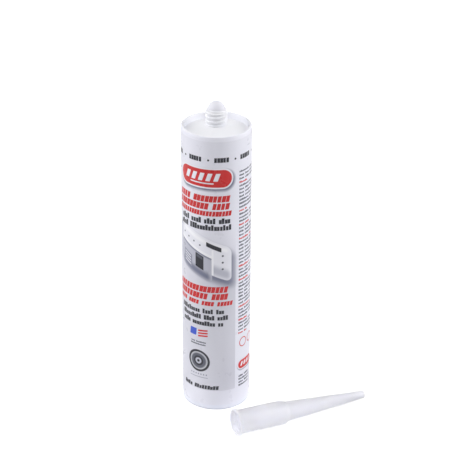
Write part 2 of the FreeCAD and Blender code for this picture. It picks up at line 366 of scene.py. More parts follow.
def printed_rows():
    """Rows of small blocks, grouped by gaps, that stand for lines of print."""
    group, given = new_group("Printed Rows", [
        "Around", "Height", "Left", "Right", "Bottom", "Top", "Rows", "Block", "Fill", "Lean", "Indent",
        "Ragged", "Gap", "Short", "Headings", "Seed"], ["Mask", "Heading"])
    level = node(group, "ShaderNodeMapRange", {"clamp": False}, {
        "Value": given["Height"], "From Min": given["Bottom"], "From Max": given["Top"],
        "To Max": given["Rows"]})[0]
    row = node(group, "ShaderNodeMath", {"operation": "FLOOR"}, {0: level})[0]
    within = node(group, "ShaderNodeMath", {"operation": "FRACT"}, {0: level})[0]
    row_key = node(group, "ShaderNodeCombineXYZ", {}, {0: row, 1: given["Seed"]})[0]
    row_noise = node(group, "ShaderNodeTexWhiteNoise", {}, {"Vector": row_key})
    chance = node(group, "ShaderNodeSeparateColor", {}, {0: row_noise["Color"]})
    indent = node(group, "ShaderNodeMath", {"operation": "MULTIPLY_ADD"}, {
        0: chance[0], 1: given["Indent"], 2: given["Left"]})[0]
    ragged = node(group, "ShaderNodeMath", TIMES, {0: chance[1], 1: given["Ragged"]})[0]
    # four in five of every fourth row are headings, which are 0.4 of the width shorter
    fourth = node(group, "ShaderNodeMath", {"operation": "FLOORED_MODULO"}, {0: row, 1: 4.0})[0]
    chosen = node(group, "ShaderNodeMath", BELOW, {0: fourth, 1: 0.5})[0]
    likely = node(group, "ShaderNodeMath", ABOVE, {0: chance[2], 1: 0.2})[0]
    both = node(group, "ShaderNodeMath", TIMES, {0: chosen, 1: likely})[0]
    heading = node(group, "ShaderNodeMath", TIMES, {0: both, 1: given["Headings"]})[0]
    whole = node(group, "ShaderNodeMath", MINUS, {0: given["Right"], 1: given["Left"]})[0]
    cut = node(group, "ShaderNodeMath", TIMES, {0: whole, 1: 0.4})[0]
    less = node(group, "ShaderNodeMath", {"operation": "MULTIPLY_ADD"}, {
        0: cut, 1: heading, 2: ragged})[0]
    end = node(group, "ShaderNodeMath", MINUS, {0: given["Right"], 1: less})[0]
    lean = node(group, "ShaderNodeMath", TIMES, {0: within, 1: given["Lean"]})[0]
    along = node(group, "ShaderNodeMath", MINUS, {0: given["Around"], 1: lean})[0]
    after = node(group, "ShaderNodeMath", MINUS, {0: along, 1: indent})[0]
    count = node(group, "ShaderNodeMath", {"operation": "DIVIDE"}, {0: after, 1: given["Block"]})[0]
    block = node(group, "ShaderNodeMath", {"operation": "FLOOR"}, {0: count})[0]
    room = node(group, "ShaderNodeMath", MINUS, {0: end, 1: indent})[0]
    blocks = node(group, "ShaderNodeMath", {"operation": "DIVIDE"}, {0: room, 1: given["Block"]})[0]
    whole_blocks = node(group, "ShaderNodeMath", MINUS, {0: blocks, 1: 1.0})[0]
    inside = node(group, "ShaderNodeMath", {"operation": "FRACT"}, {0: count})[0]
    block_key = node(group, "ShaderNodeCombineXYZ", {}, {0: block, 1: row, 2: given["Seed"]})[0]
    block_noise = node(group, "ShaderNodeTexWhiteNoise", {}, {"Vector": block_key})
    luck = node(group, "ShaderNodeSeparateColor", {}, {0: block_noise["Color"]})
    # three blocks in five are low, and each is 0.80 to 0.96 of its place wide
    low_block = node(group, "ShaderNodeMath", BELOW, {0: luck[0], 1: 0.6})[0]
    drop = node(group, "ShaderNodeMath", TIMES, {0: low_block, 1: given["Short"]})[0]
    share = node(group, "ShaderNodeMath", MINUS, {0: 1.0, 1: drop})[0]
    limit = node(group, "ShaderNodeMath", TIMES, {0: share, 1: given["Fill"]})[0]
    low = node(group, "ShaderNodeMath", BELOW, {0: within, 1: limit})[0]
    width = node(group, "ShaderNodeMath", {"operation": "MULTIPLY_ADD"}, {
        0: luck[1], 1: 0.16, 2: 0.80})[0]
    narrow = node(group, "ShaderNodeMath", BELOW, {0: inside, 1: width})[0]
    # a gap between words can only come after every fourth block
    fifth = node(group, "ShaderNodeMath", {"operation": "FLOORED_MODULO"}, {0: block, 1: 5.0})[0]
    inner = node(group, "ShaderNodeMath", BELOW, {0: fifth, 1: 3.5})[0]
    joined = node(group, "ShaderNodeMath", ABOVE, {0: luck[2], 1: given["Gap"]})[0]
    word = node(group, "ShaderNodeMath", {"operation": "MAXIMUM"}, {0: inner, 1: joined})[0]
    started = node(group, "ShaderNodeMath", ABOVE, {0: after, 1: 0.0})[0]
    open_end = node(group, "ShaderNodeMath", BELOW, {0: block, 1: whole_blocks})[0]
    first = node(group, "ShaderNodeMath", ABOVE, {0: level, 1: 0.0})[0]
    last = node(group, "ShaderNodeMath", BELOW, {0: level, 1: given["Rows"]})[0]
    mask = low
    for part in (narrow, word, started, open_end, first, last):
        mask = node(group, "ShaderNodeMath", TIMES, {0: mask, 1: part})[0]
    node(group, "NodeGroupOutput", {}, {"Mask": mask, "Heading": heading})
    return group


def label_material(settings, barrel):
    """Printed polypropylene film, rolled glossy: a bright white with a long soft highlight down each
    side, a grey field that fades out upwards, and crisp solid inks."""
    material, tree = new_material("Printed Glossy Polypropylene Film")
    radius = barrel.radius + settings.glue + settings.thickness
    shape, rows = printed_shape(), printed_rows()
    place = node(tree, "ShaderNodeGroup", {"node_tree": label_position(radius)}, {})
    around, height = place["Around"], place["Height"]
    film, ground, red = settings.film, settings.ground, settings.red
    black, grey, blue = settings.black, settings.grey, settings.blue
    white, pale, silver = linear("F6F6FB"), linear("EAEAF2"), linear("BCBDCA")
    slate, shadow = linear("8E90A2"), linear("777A90")

    # The grey field: darker to the right, where it ends at a sharp edge, and gone above the picture
    field = node(tree, "ShaderNodeGroup", {"node_tree": shape}, {
        "Around": around, "Height": height, "Middle": -15.0, "Level": 116.2, "Half Width": 29.5,
        "Half Height": 100.0, "Corner": 0.1, "Soft": 0.1})[0]
    across = node(tree, "ShaderNodeMapRange", {}, {
        "Value": around, "From Min": -44.0, "From Max": 6.0, "To Min": 0.45})[0]
    upward = node(tree, "ShaderNodeMapRange", SMOOTH, {
        "Value": height, "From Min": 104.0, "From Max": 150.0, "To Min": 1.0, "To Max": 0.0})[0]
    strength = node(tree, "ShaderNodeMath", TIMES, {0: across, 1: upward})[0]
    amount = node(tree, "ShaderNodeMath", TIMES, {0: strength, 1: field})[0]
    # painted shade: the film is darker towards the rear end, where no paste is behind the barrel
    clear_of_rear_shade = node(tree, "ShaderNodeMapRange", SMOOTH, {
        "Value": height, "From Min": 10.0, "From Max": 26.0})[0]
    sheet = node(tree, "ShaderNodeMix", RGBA, {0: clear_of_rear_shade, 6: settings.rear_film_painted_shade, 7: film})[2]
    shown = node(tree, "ShaderNodeMix", RGBA, {0: amount, 6: sheet, 7: ground})[2]

    # Shapes, from the lowest layer to the highest:
    # middle, level, half width, half height, corner, lean, slope, soft edge, ink
    shapes = [
        # front emblem: a soft shadow, a pale border, a red lozenge and its slanted bars
        (-8.4, 184.8, 22.0, 8.2, 7.9, 0.0, 0.0, 1.5, shadow),
        (-9.4, 186.0, 21.6, 7.7, 7.6, 0.0, 0.0, 0.12, pale),
        (-9.4, 186.0, 20.5, 6.6, 6.5, 0.0, 0.0, 0.12, red),
    ] + [(-22.0 + 5.6 * n, 186.9, 1.6, 2.9, 0.3, 0.35, 0.0, 0.1, pale) for n in range(5)] + [
        (-10.8, 182.2, 9.0, 0.45, 0.4, 0.0, 0.0, 0.1, pale),
        # picture of two lapped sheets on a soft shadow, each lighter at its top and shaded at its foot
        (-8.4, 123.6, 22.0, 14.6, 6.0, 0.0, -0.42, 4.0, shadow),
        (-9.5, 127.5, 20.6, 13.4, 4.5, 0.0, -0.42, 0.15, pale),
        (-8.5, 118.4, 18.6, 3.4, 3.0, 0.0, -0.42, 2.6, silver),
        (-9.5, 137.6, 17.6, 1.5, 1.5, 0.0, -0.42, 1.2, white),
        (-16.5, 120.5, 13.6, 9.6, 3.5, 0.0, -0.42, 0.15, silver),
        (-16.5, 114.4, 12.0, 2.6, 2.4, 0.0, -0.42, 2.2, shadow),
        # the bead of paste along the joint, and the rolled edge of the sheet
        (-16.2, 129.9, 13.4, 1.2, 1.2, 0.0, -0.42, 0.9, shadow),
        (-16.5, 131.1, 13.8, 1.1, 1.1, 0.0, -0.42, 0.2, white),
        (-2.6, 121.2, 0.7, 10.0, 0.7, 0.0, -0.42, 0.15, white),
        # its hatch, slot and vent
        (-1.8, 133.4, 5.4, 1.7, 0.4, 0.0, -0.42, 0.12, black),
        (-12.4, 121.2, 3.2, 5.4, 0.4, 0.0, -0.42, 0.12, black),
        (-12.4, 124.8, 2.4, 1.0, 0.4, 0.0, -0.42, 0.5, grey),
        (-23.0, 121.4, 4.2, 4.8, 0.6, 0.0, -0.42, 0.12, slate),
    ] + [(-23.0, 118.2 + 2.1 * n, 3.2, 0.4, 0.3, 0.0, -0.42, 0.12, pale) for n in range(4)] + [
        # two rows of screws, on the sheet and down its edge
    ] + [(x, 135.9 - 0.42 * (x + 16.5), 0.65, 0.65, 0.65, 0.0, 0.0, 0.2, grey)
         for x in (-27.0, -22.0, -17.0, -12.0)] + [
        (4.6, level, 0.75, 0.75, 0.75, 0.0, 0.0, 0.2, grey) for level in (126.6, 121.4, 116.2)] + [
        # small square and its three bars
        (-18.0, 63.6, 2.9, 2.9, 0.6, 0.1, 0.0, 0.1, blue),
        (-10.0, 65.6, 3.9, 0.65, 0.6, 0.0, 0.12, 0.1, red),
        (-10.0, 63.4, 3.9, 0.65, 0.6, 0.0, 0.12, 0.1, red),
        (-10.0, 61.2, 3.9, 0.65, 0.6, 0.0, 0.12, 0.1, red),
        # round badge of rings
        (-13.6, 40.0, 9.0, 9.0, 9.0, 0.0, 0.0, 0.12, black),
        (-13.6, 40.0, 7.2, 7.2, 7.2, 0.0, 0.0, 0.3, pale),
        (-13.6, 40.0, 6.6, 6.6, 6.6, 0.0, 0.0, 1.2, grey),
        (-13.6, 40.0, 4.0, 4.0, 4.0, 0.0, 0.0, 0.12, black),
        (-13.6, 40.0, 2.5, 2.5, 2.5, 0.0, 0.0, 0.2, silver),
        (-13.6, 40.0, 1.1, 1.1, 1.1, 0.0, 0.0, 0.12, black),
        # a row of dots and a fine line under the badge
    ] + [(-19.9 + 2.1 * n, 28.9, 0.5, 0.6, 0.3, 0.0, 0.0, 0.15, slate) for n in range(7)] + [
        (-13.6, 26.4, 7.4, 0.22, 0.2, 0.0, 0.0, 0.15, slate),
        # side panel: two plain rings and a small lozenge
        (22.2, 52.8, 3.9, 3.9, 3.9, 0.0, 0.0, 0.1, red),
        (22.2, 52.8, 3.2, 3.2, 3.2, 0.0, 0.0, 0.1, film),
        (31.6, 52.8, 3.9, 3.9, 3.9, 0.0, 0.0, 0.1, red),
        (31.6, 52.8, 3.2, 3.2, 3.2, 0.0, 0.0, 0.1, film),
        (26.0, 33.9, 9.6, 4.6, 4.5, 0.0, 0.0, 0.8, slate),
        (25.8, 34.4, 9.2, 4.3, 4.2, 0.0, 0.0, 0.1, pale),
        (25.8, 34.4, 8.4, 3.6, 3.5, 0.0, 0.0, 0.1, red),
    ] + [(21.0 + 3.2 * n, 34.6, 0.9, 1.6, 0.2, 0.35, 0.0, 0.1, pale) for n in range(4)]
    for middle, level, half_width, half_height, corner, lean, slope, soft, ink in shapes:
        mask = node(tree, "ShaderNodeGroup", {"node_tree": shape}, {
            "Around": around, "Height": height, "Middle": middle, "Level": level,
            "Half Width": half_width, "Half Height": half_height, "Corner": corner, "Lean": lean,
            "Slope": slope, "Soft": soft})[0]
        shown = node(tree, "ShaderNodeMix", RGBA, {0: mask, 6: shown, 7: ink})[2]

    # Rows: left, right, bottom, top, rows, block, fill, lean, indent, ragged, gap, short, ink
    lines = [
        (-33.0, 12.6, 162.4, 173.8, 2, 3.0, 0.84, 1.2, 2.0, 3.0, 0.4, 0.0, red),
        (-33.0, 12.2, 157.4, 161.8, 1, 2.3, 0.86, 0.8, 0.0, 0.0, 0.5, 0.0, red),
        (-31.0, 11.4, 146.4, 156.8, 2, 2.1, 0.82, 0.0, 2.0, 2.0, 0.55, 0.26, black),
        (-34.0, 12.6, 91.6, 103.0, 2, 3.0, 0.84, 1.2, 2.0, 2.0, 0.4, 0.0, red),
        (-34.0, 12.4, 86.6, 90.6, 1, 2.3, 0.86, 0.8, 0.0, 0.0, 0.5, 0.0, red),
        (-31.0, 11.6, 70.0, 85.2, 3, 2.0, 0.74, 0.0, 4.0, 5.0, 0.55, 0.26, black),
        (-20.5, -7.0, 53.2, 57.2, 2, 0.9, 0.60, 0.0, 0.6, 0.6, 0.4, 0.2, grey),
        (-27.7, 3.4, 17.0, 20.6, 1, 2.1, 0.90, 0.4, 0.0, 0.0, 0.55, 0.2, black),
        (17.3, 44.0, 60.6, 191.0, 48, 1.2, 0.54, 0.0, 0.0, 7.0, 0.5, 0.25, grey),
        (17.8, 32.0, 16.6, 26.8, 4, 1.2, 0.60, 0.0, 0.0, 2.0, 0.4, 0.25, grey),
        (-73.0, -48.0, 60.6, 191.0, 48, 1.2, 0.54, 0.0, 0.0, 6.0, 0.5, 0.25, grey),
        (48.0, 73.0, 128.0, 191.0, 23, 1.2, 0.54, 0.0, 0.0, 6.0, 0.5, 0.25, grey),
    ]
    for seed, line in enumerate(lines):
        left, right, bottom, top, count, block, fill, lean, indent, ragged, gap, short, ink = line
        made = node(tree, "ShaderNodeGroup", {"node_tree": rows}, {
            "Around": around, "Height": height, "Left": left, "Right": right, "Bottom": bottom,
            "Top": top, "Rows": count, "Block": block, "Fill": fill, "Lean": lean, "Indent": indent,
            "Ragged": ragged, "Gap": gap, "Short": short,
            "Headings": float(count > 20), "Seed": seed + 0.5})
        ink = node(tree, "ShaderNodeMix", RGBA, {0: made["Heading"], 6: ink, 7: red})[2]
        shown = node(tree, "ShaderNodeMix", RGBA, {0: made["Mask"], 6: shown, 7: ink})[2]

    # The band under the rim: eight dots round the tube with a short row of blocks after each
    period, first_dot, margin = TURN * radius / MM / 8, 13.8, 4.2
    turn = node(tree, "ShaderNodeMath", MINUS, {0: around, 1: first_dot - period / 2})[0]
    wrapped = node(tree, "ShaderNodeMath", {"operation": "FLOORED_MODULO"}, {0: turn, 1: period})[0]
    dot = node(tree, "ShaderNodeGroup", {"node_tree": shape}, {
        "Around": wrapped, "Height": height, "Middle": period / 2, "Level": 199.6, "Half Width": 0.75,
        "Half Height": 0.75, "Corner": 0.75, "Soft": 0.1})[0]
    shown = node(tree, "ShaderNodeMix", RGBA, {0: dot, 6: shown, 7: black})[2]
    shift = node(tree, "ShaderNodeMath", MINUS, {0: around, 1: first_dot})[0]
    start = node(tree, "ShaderNodeMath", {"operation": "FLOORED_MODULO"}, {0: shift, 1: period})[0]
    word = node(tree, "ShaderNodeGroup", {"node_tree": rows}, {
        "Around": start, "Height": height, "Left": margin, "Right": period - margin, "Bottom": 198.0,
        "Top": 201.9, "Rows": 1, "Block": 2.1, "Fill": 0.9, "Lean": 0.0, "Indent": 0.0, "Ragged": 0.0,
        "Gap": 0.0, "Seed": 28.5})["Mask"]
    shown = node(tree, "ShaderNodeMix", RGBA, {0: word, 6: shown, 7: black})[2]

    # The film lies on the wall with faint long ripples, about 12 mm apart and 30 mm tall
    point = node(tree, "ShaderNodeTexCoord", {}, {})["Object"]
    stretched = node(tree, "ShaderNodeMapping", {}, {"Vector": point, "Scale": (1.0, 1.0, 0.4)})[0]
    ripple = node(tree, "ShaderNodeTexNoise", {}, {
        "Vector": stretched, "Scale": 1 / (12.5 * MM), "Detail": 1.0})[0]
    bump = node(tree, "ShaderNodeBump", {}, {
        "Height": ripple, "Strength": 0.15, "Distance": 0.15 * MM})[0]
    smear = node(tree, "ShaderNodeTexNoise", {}, {
        "Vector": point, "Scale": 1 / (7.14 * MM), "Detail": 3.0})[0]
    gloss = node(tree, "ShaderNodeMapRange", {}, {"Value": smear, "To Min": 0.24, "To Max": 0.34})[0]
    surface = node(tree, "ShaderNodeBsdfPrincipled", {}, {
        "Base Color": shown, "Roughness": gloss, "Normal": bump, "IOR": 1.49})[0]
    node(tree, "ShaderNodeOutputMaterial", {}, {"Surface": surface})
    return material


def barrel_material(settings):
    """Injection-moulded white polyethylene: a soft waxy white with a dull sheen, a fine eggshell grain
    from the mould, and a little light that spreads under the surface. Painted shade makes the outer wall
    and the tip a darker, cooler white, and the rear end darker and greyer."""
    material, tree = new_material("Moulded White Polyethylene")
    point = node(tree, "ShaderNodeTexCoord", {}, {})["Object"]
    # mould grain of about 0.4 mm, coarser than the real one so that it shows
    grain = node(tree, "ShaderNodeTexNoise", {}, {
        "Vector": point, "Scale": 1 / (0.4 * MM), "Detail": 2.0})[0]
    bump = node(tree, "ShaderNodeBump", {}, {
        "Height": grain, "Strength": 0.12, "Distance": 0.05 * MM})[0]
    cloud = node(tree, "ShaderNodeTexNoise", {}, {
        "Vector": point, "Scale": 1 / (8.33 * MM), "Detail": 2.0})[0]
    dull = node(tree, "ShaderNodeMapRange", {}, {"Value": cloud, "To Min": 0.50, "To Max": 0.62})[0]
    shade = node(tree, "ShaderNodeMix", RGBA, {
        0: cloud, 6: settings.plastic, 7: linear("F0F1F8")})[2]
    height = node(tree, "ShaderNodeSeparateXYZ", {}, {0: point})["Z"]
    flat = node(tree, "ShaderNodeVectorMath", TIMES, {0: point, 1: (1, 1, 0)})[0]
    out = node(tree, "ShaderNodeVectorMath", {"operation": "LENGTH"}, {0: flat})["Value"]
    # painted shade: a mask of the outer wall, which is painted darker and cooler along with the tip
    wall = node(tree, "ShaderNodeMapRange", SMOOTH, {
        "Value": out, "From Min": settings.radius - 0.7 * settings.rim_width,
        "From Max": settings.radius - 0.1 * settings.rim_width})[0]
    neck = levels(settings)["neck"]
    tip = node(tree, "ShaderNodeMapRange", SMOOTH, {
        "Value": height, "From Min": neck - settings.tip_wall, "From Max": neck + settings.tip_wall})[0]
    cooler = node(tree, "ShaderNodeMath", {"operation": "MAXIMUM"}, {0: wall, 1: tip})[0]
    shade = node(tree, "ShaderNodeMix", RGBA, {
        0: cooler, 6: shade, 7: settings.wall_and_tip_painted_shade})[2]
    # painted shade: darker and greyer towards the rear end, where no paste is behind the wall
    clear_of_rear_shade = node(tree, "ShaderNodeMapRange", SMOOTH, {
        "Value": height, "From Min": settings.rear_length / 2, "From Max": 2 * settings.rear_length})[0]
    shade = node(tree, "ShaderNodeMix", RGBA, {
        0: clear_of_rear_shade, 6: settings.rear_painted_shade, 7: shade})[2]
    surface = node(tree, "ShaderNodeBsdfPrincipled", {}, {
        "Base Color": shade, "Roughness": dull, "Normal": bump, "IOR": 1.54, "Subsurface Weight": 0.8,
        "Subsurface Radius": (1.0, 1.0, 1.0), "Subsurface Scale": 0.8 * MM})[0]
    node(tree, "ShaderNodeOutputMaterial", {}, {"Surface": surface})
    return material


def nozzle_material(settings, place, turn):
    """Injection-moulded natural polyethylene: milky and slightly see-through, so that thin walls look
    lighter and cooler, with a satin skin and faint rings where the cone was turned in the mould. Painted
    shade makes it a little darker towards the flange, and darker on the flange's face and in the socket."""
    material, tree = new_material("Moulded Milky Polyethylene")
    point = node(tree, "ShaderNodeTexCoord", {}, {})["Object"]
    local = node(tree, "ShaderNodeMapping", {"vector_type": "TEXTURE"}, {
        "Vector": point, "Location": place, "Rotation": turn})[0]
    along = node(tree, "ShaderNodeSeparateXYZ", {}, {0: local})["Z"]
    # turning rings 1.6 mm apart
    phase = node(tree, "ShaderNodeMath", TIMES, {0: along, 1: TURN / (1.6 * MM)})[0]
    ring = node(tree, "ShaderNodeMath", {"operation": "SINE"}, {0: phase})[0]
    grain = node(tree, "ShaderNodeTexNoise", {}, {
        "Vector": point, "Scale": 1 / (1.11 * MM), "Detail": 2.0})[0]
    mixed = node(tree, "ShaderNodeMath", {"operation": "MULTIPLY_ADD"}, {0: ring, 1: 0.18, 2: grain})[0]
    bump = node(tree, "ShaderNodeBump", {}, {
        "Height": mixed, "Strength": 0.2, "Distance": 0.08 * MM})[0]
    # painted shade: a little darker towards the flange end, lighter along the collar
    thin = node(tree, "ShaderNodeMapRange", {}, {
        "Value": along, "From Max": settings.collar_end})[0]
    shade = node(tree, "ShaderNodeMix", RGBA, {
        0: thin, 6: settings.plastic, 7: linear("F9F9FF")})[2]
    # painted shade: a darker colour on the face of the flange and in the socket
    face = node(tree, "ShaderNodeMapRange", SMOOTH, {
        "Value": along, "From Max": settings.flange_thickness / 8, "To Min": 1.0, "To Max": 0.0})[0]
    flat = node(tree, "ShaderNodeVectorMath", TIMES, {0: local, 1: (1, 1, 0)})[0]
    out = node(tree, "ShaderNodeVectorMath", {"operation": "LENGTH"}, {0: flat})["Value"]
    inner = node(tree, "ShaderNodeMapRange", SMOOTH, {
        "Value": out, "From Min": settings.collar_radius - 0.4 * settings.wall,
        "From Max": settings.collar_radius, "To Min": 1.0, "To Max": 0.0})[0]
    near = node(tree, "ShaderNodeMath", BELOW, {0: along, 1: settings.socket_depth})[0]
    socket = node(tree, "ShaderNodeMath", TIMES, {0: inner, 1: near})[0]
    mouth = node(tree, "ShaderNodeMath", {"operation": "MAXIMUM"}, {0: face, 1: socket})[0]
    shade = node(tree, "ShaderNodeMix", RGBA, {0: mouth, 6: shade, 7: settings.mouth_painted_shade})[2]
    # less see-through in the thick flange
    clear = node(tree, "ShaderNodeMapRange", {}, {
        "Value": along, "From Max": 4 * settings.flange_thickness, "To Min": 0.34, "To Max": 0.6})[0]
    dull = node(tree, "ShaderNodeMapRange", {}, {"Value": grain, "To Min": 0.34, "To Max": 0.44})[0]
    surface = node(tree, "ShaderNodeBsdfPrincipled", {}, {
        "Base Color": shade, "Roughness": dull, "Normal": bump, "IOR": 1.51, "Subsurface Weight": 0.6,
        "Subsurface Radius": (1.0, 1.0, 1.1), "Subsurface Scale": 0.8 * MM,
        "Transmission Weight": clear})[0]
    node(tree, "ShaderNodeOutputMaterial", {}, {"Surface": surface})
    return material


def piston_material(settings):
    """Injection-moulded soft polyethylene: a greyer milky white than the barrel, with a waxy dull sheen
    and fine turned rings on the crown and in the cup."""
    material, tree = new_material("Moulded Soft Polyethylene")
    point = node(tree, "ShaderNodeTexCoord", {}, {})["Object"]
    # turned rings 0.9 mm apart, about the Z axis
    rings = node(tree, "ShaderNodeTexWave", {"wave_type": "RINGS", "rings_direction": "Z"}, {
        "Vector": point, "Scale": TURN / WAVE_TURN / (0.9 * MM), "Distortion": 0.4, "Detail": 1.0})[1]
    bump = node(tree, "ShaderNodeBump", {}, {
        "Height": rings, "Strength": 0.15, "Distance": 0.05 * MM})[0]
    cloud = node(tree, "ShaderNodeTexNoise", {}, {
        "Vector": point, "Scale": 1 / (6.67 * MM), "Detail": 2.0})[0]
    shade = node(tree, "ShaderNodeMix", RGBA, {
        0: cloud, 6: settings.plastic, 7: linear("DCDFE6")})[2]
    dull = node(tree, "ShaderNodeMapRange", {}, {"Value": cloud, "To Min": 0.40, "To Max": 0.55})[0]
    surface = node(tree, "ShaderNodeBsdfPrincipled", {}, {
        "Base Color": shade, "Roughness": dull, "Normal": bump, "IOR": 1.51, "Subsurface Weight": 0.25,
        "Subsurface Radius": (1.0, 1.0, 1.0), "Subsurface Scale": 1.5 * MM})[0]
    node(tree, "ShaderNodeOutputMaterial", {}, {"Surface": surface})
    return material


def paste_material(settings):
    """Polyurethane paste: an off-white, smooth and slightly wet body with slow drag marks."""
    material, tree = new_material("White Sealing Paste")
    point = node(tree, "ShaderNodeTexCoord", {}, {})["Object"]
    drag = node(tree, "ShaderNodeTexNoise", {}, {
        "Vector": point, "Scale": 1 / (11.1 * MM), "Detail": 4.0, "Distortion": 1.2})[0]
    bump = node(tree, "ShaderNodeBump", {}, {
        "Height": drag, "Strength": 0.3, "Distance": 0.4 * MM})[0]
    shade = node(tree, "ShaderNodeMix", RGBA, {
        0: drag, 6: settings.body, 7: linear("E8E7E2")})[2]
    surface = node(tree, "ShaderNodeBsdfPrincipled", {}, {
        "Base Color": shade, "Roughness": 0.35, "Normal": bump, "IOR": 1.48, "Subsurface Weight": 0.2,
        "Subsurface Radius": (1.0, 1.0, 0.9), "Subsurface Scale": 2.0 * MM})[0]
    node(tree, "ShaderNodeOutputMaterial", {}, {"Surface": surface})
    return material


def floor_material(settings):
    """Matt white studio board. The camera sees it lifted to white, with the object's soft shadow, and
    more so further out, where the lamps no longer reach it."""
    material, tree = new_material("Matt Studio Board")
    point = node(tree, "ShaderNodeTexCoord", {}, {})["Object"]
    fibre = node(tree, "ShaderNodeTexNoise", {}, {
        "Vector": point, "Scale": 1 / (2.5 * MM), "Detail": 2.0})[0]
    shade = node(tree, "ShaderNodeMix", RGBA, {
        0: fibre, 6: settings.floor, 7: linear("F1F1F3")})[2]
    board = node(tree, "ShaderNodeBsdfDiffuse", {}, {"Color": shade})[0]
    path = node(tree, "ShaderNodeLightPath", {}, {})
    seen = node(tree, "ShaderNodeMath", {"operation": "MAXIMUM"}, {
        0: path["Is Camera Ray"], 1: path["Is Transmission Ray"]})[0]
    away = node(tree, "ShaderNodeVectorMath", {"operation": "LENGTH"}, {0: point})["Value"]
    share = node(tree, "ShaderNodeMapRange", SMOOTH, {
        "Value": away, "From Min": 0.25, "From Max": 0.75, "To Min": 0.50, "To Max": 1.0})[0]
    lift = node(tree, "ShaderNodeMath", TIMES, {0: seen, 1: share})[0]
    glow = node(tree, "ShaderNodeEmission", {}, {"Color": linear("FFFFFF"), "Strength": lift})[0]
    surface = node(tree, "ShaderNodeAddShader", {}, {0: board, 1: glow})[0]
    node(tree, "ShaderNodeOutputMaterial", {}, {"Surface": surface})
    return material


# Pieces


def levels(barrel):
    """Heights and radii that several pieces share, in metres."""
    found = {}
    found["bore"] = barrel.radius - barrel.wall
    found["rim"] = barrel.radius - barrel.rim_width
    found["edge"] = barrel.height - barrel.rim_depth
    slope = barrel.head_rise / (found["rim"] - barrel.neck_radius)
    found["head"] = found["edge"] + barrel.head_rise
    found["neck"] = found["head"] + barrel.neck_length
    found["tip"] = found["neck"] + barrel.tip_height - barrel.tip_radius
    found["neck_bore"] = barrel.tip_radius - barrel.tip_wall
    found["bore_end"] = found["edge"] - barrel.head_thickness + (found["rim"] - found["bore"]) * slope
    found["throat"] = found["bore_end"] + (found["bore"] - found["neck_bore"]) * slope
    return found


def dome(radius, centre, lowest, steps):
    """Points of a round tip from its top down to an angle below it, on a sphere."""
    return [(radius * math.sin(a), centre + radius * math.cos(a))
            for a in (lowest * n / steps for n in range(steps + 1))]


class CAULK_OT_stage(bpy.types.Operator):
    """Adds the floor, the soft lights, the white room and the camera"""

    bl_idname = "caulk.stage"
    bl_label = "Stage"

    def execute(self, context):
        settings = context.scene.caulk_stage
        bpy.ops.object.select_all(action="DESELECT")
        bpy.ops.mesh.primitive_plane_add(size=1.0)
        floor = context.object
        floor.name = "floor"
        bpy.ops.object.mode_set(mode="EDIT")
        # 6 m wide, and a hair under the rear end so that their faces don't share one plane
        bpy.ops.transform.resize(value=(6.0, 6.0, 1.0), center_override=(0, 0, 0))
        bpy.ops.transform.translate(value=(0, 0, -0.05 * MM))
        bpy.ops.object.mode_set(mode="OBJECT")
        floor.data.materials.append(floor_material(settings))

        target = Vector((0.0, 0.0, 0.10))
        boxes = [
            ("left_softbox", (-1.05, 0.0, 0.55), (0.9, 1.3), settings.side_power),
            ("right_softbox", (1.05, 0.0, 0.55), (0.9, 1.3), settings.side_power),
            ("back_softbox", (0.0, 1.20, 0.60), (1.4, 0.9), settings.back_power),
            ("top_softbox", (0.0, 0.25, 1.35), (0.9, 0.9), settings.top_power),
            ("front_softbox", (0.0, -0.75, 1.25), (0.9, 0.9), settings.front_power),
        ]
        for name, place, sides, power in boxes:
            aim = (target - Vector(place)).to_track_quat("-Z", "Y").to_euler()
            bpy.ops.object.light_add(type="AREA", location=place, rotation=aim)
            lamp = context.object
            lamp.name = name
            lamp.data.shape = "RECTANGLE"
            lamp.data.size, lamp.data.size_y = sides
            lamp.data.energy = power

        # a light table: an unseen round lamp just above the floor that shines up at the lowest parts
        bpy.ops.object.light_add(type="AREA", location=(0.02, -0.09, 0.001), rotation=(math.pi, 0, 0))
        table = context.object
        table.name = "light_table"
        table.data.shape, table.data.size = "DISK", 0.20
        table.data.energy = settings.table_power
        table.visible_camera = False

        world = bpy.data.worlds.new("White Room")
        world.use_nodes = True
        tree = world.node_tree
        tree.nodes.clear()
        path = node(tree, "ShaderNodeLightPath", {}, {})
        seen = path["Is Camera Ray"]
        for other in ("Is Glossy Ray", "Is Transmission Ray"):
            seen = node(tree, "ShaderNodeMath", {"operation": "MAXIMUM"}, {0: seen, 1: path[other]})[0]
        light = node(tree, "ShaderNodeBackground", {}, {
            "Color": linear("FFFFFF"), "Strength": settings.room_light})[0]
        white = node(tree, "ShaderNodeBackground", {}, {"Color": linear("FFFFFF"), "Strength": 1.0})[0]
        both = node(tree, "ShaderNodeMixShader", {}, {0: seen, 1: light, 2: white})[0]
        node(tree, "ShaderNodeOutputWorld", {}, {"Surface": both})
        context.scene.world = world

        # fitted to the photograph by the barrel's rim, rear end and sides
        turned = (Matrix.Rotation(math.radians(-0.289), 4, "Z")
                  @ Matrix.Rotation(math.radians(90 - 25.947), 4, "X")
                  @ Matrix.Rotation(math.radians(0.187), 4, "Z"))
        place = Vector((0.955, -1034.8, 642.5)) * MM
        bpy.ops.object.camera_add(location=place, rotation=turned.to_euler())
        camera = context.object
        camera.name = "camera"
        camera.data.lens, camera.data.sensor_width = settings.lens, 36.0
        camera.data.clip_start, camera.data.clip_end = 0.05, 20.0
        context.scene.camera = camera
        context.scene.view_settings.view_transform = "Standard"
        return {"FINISHED"}


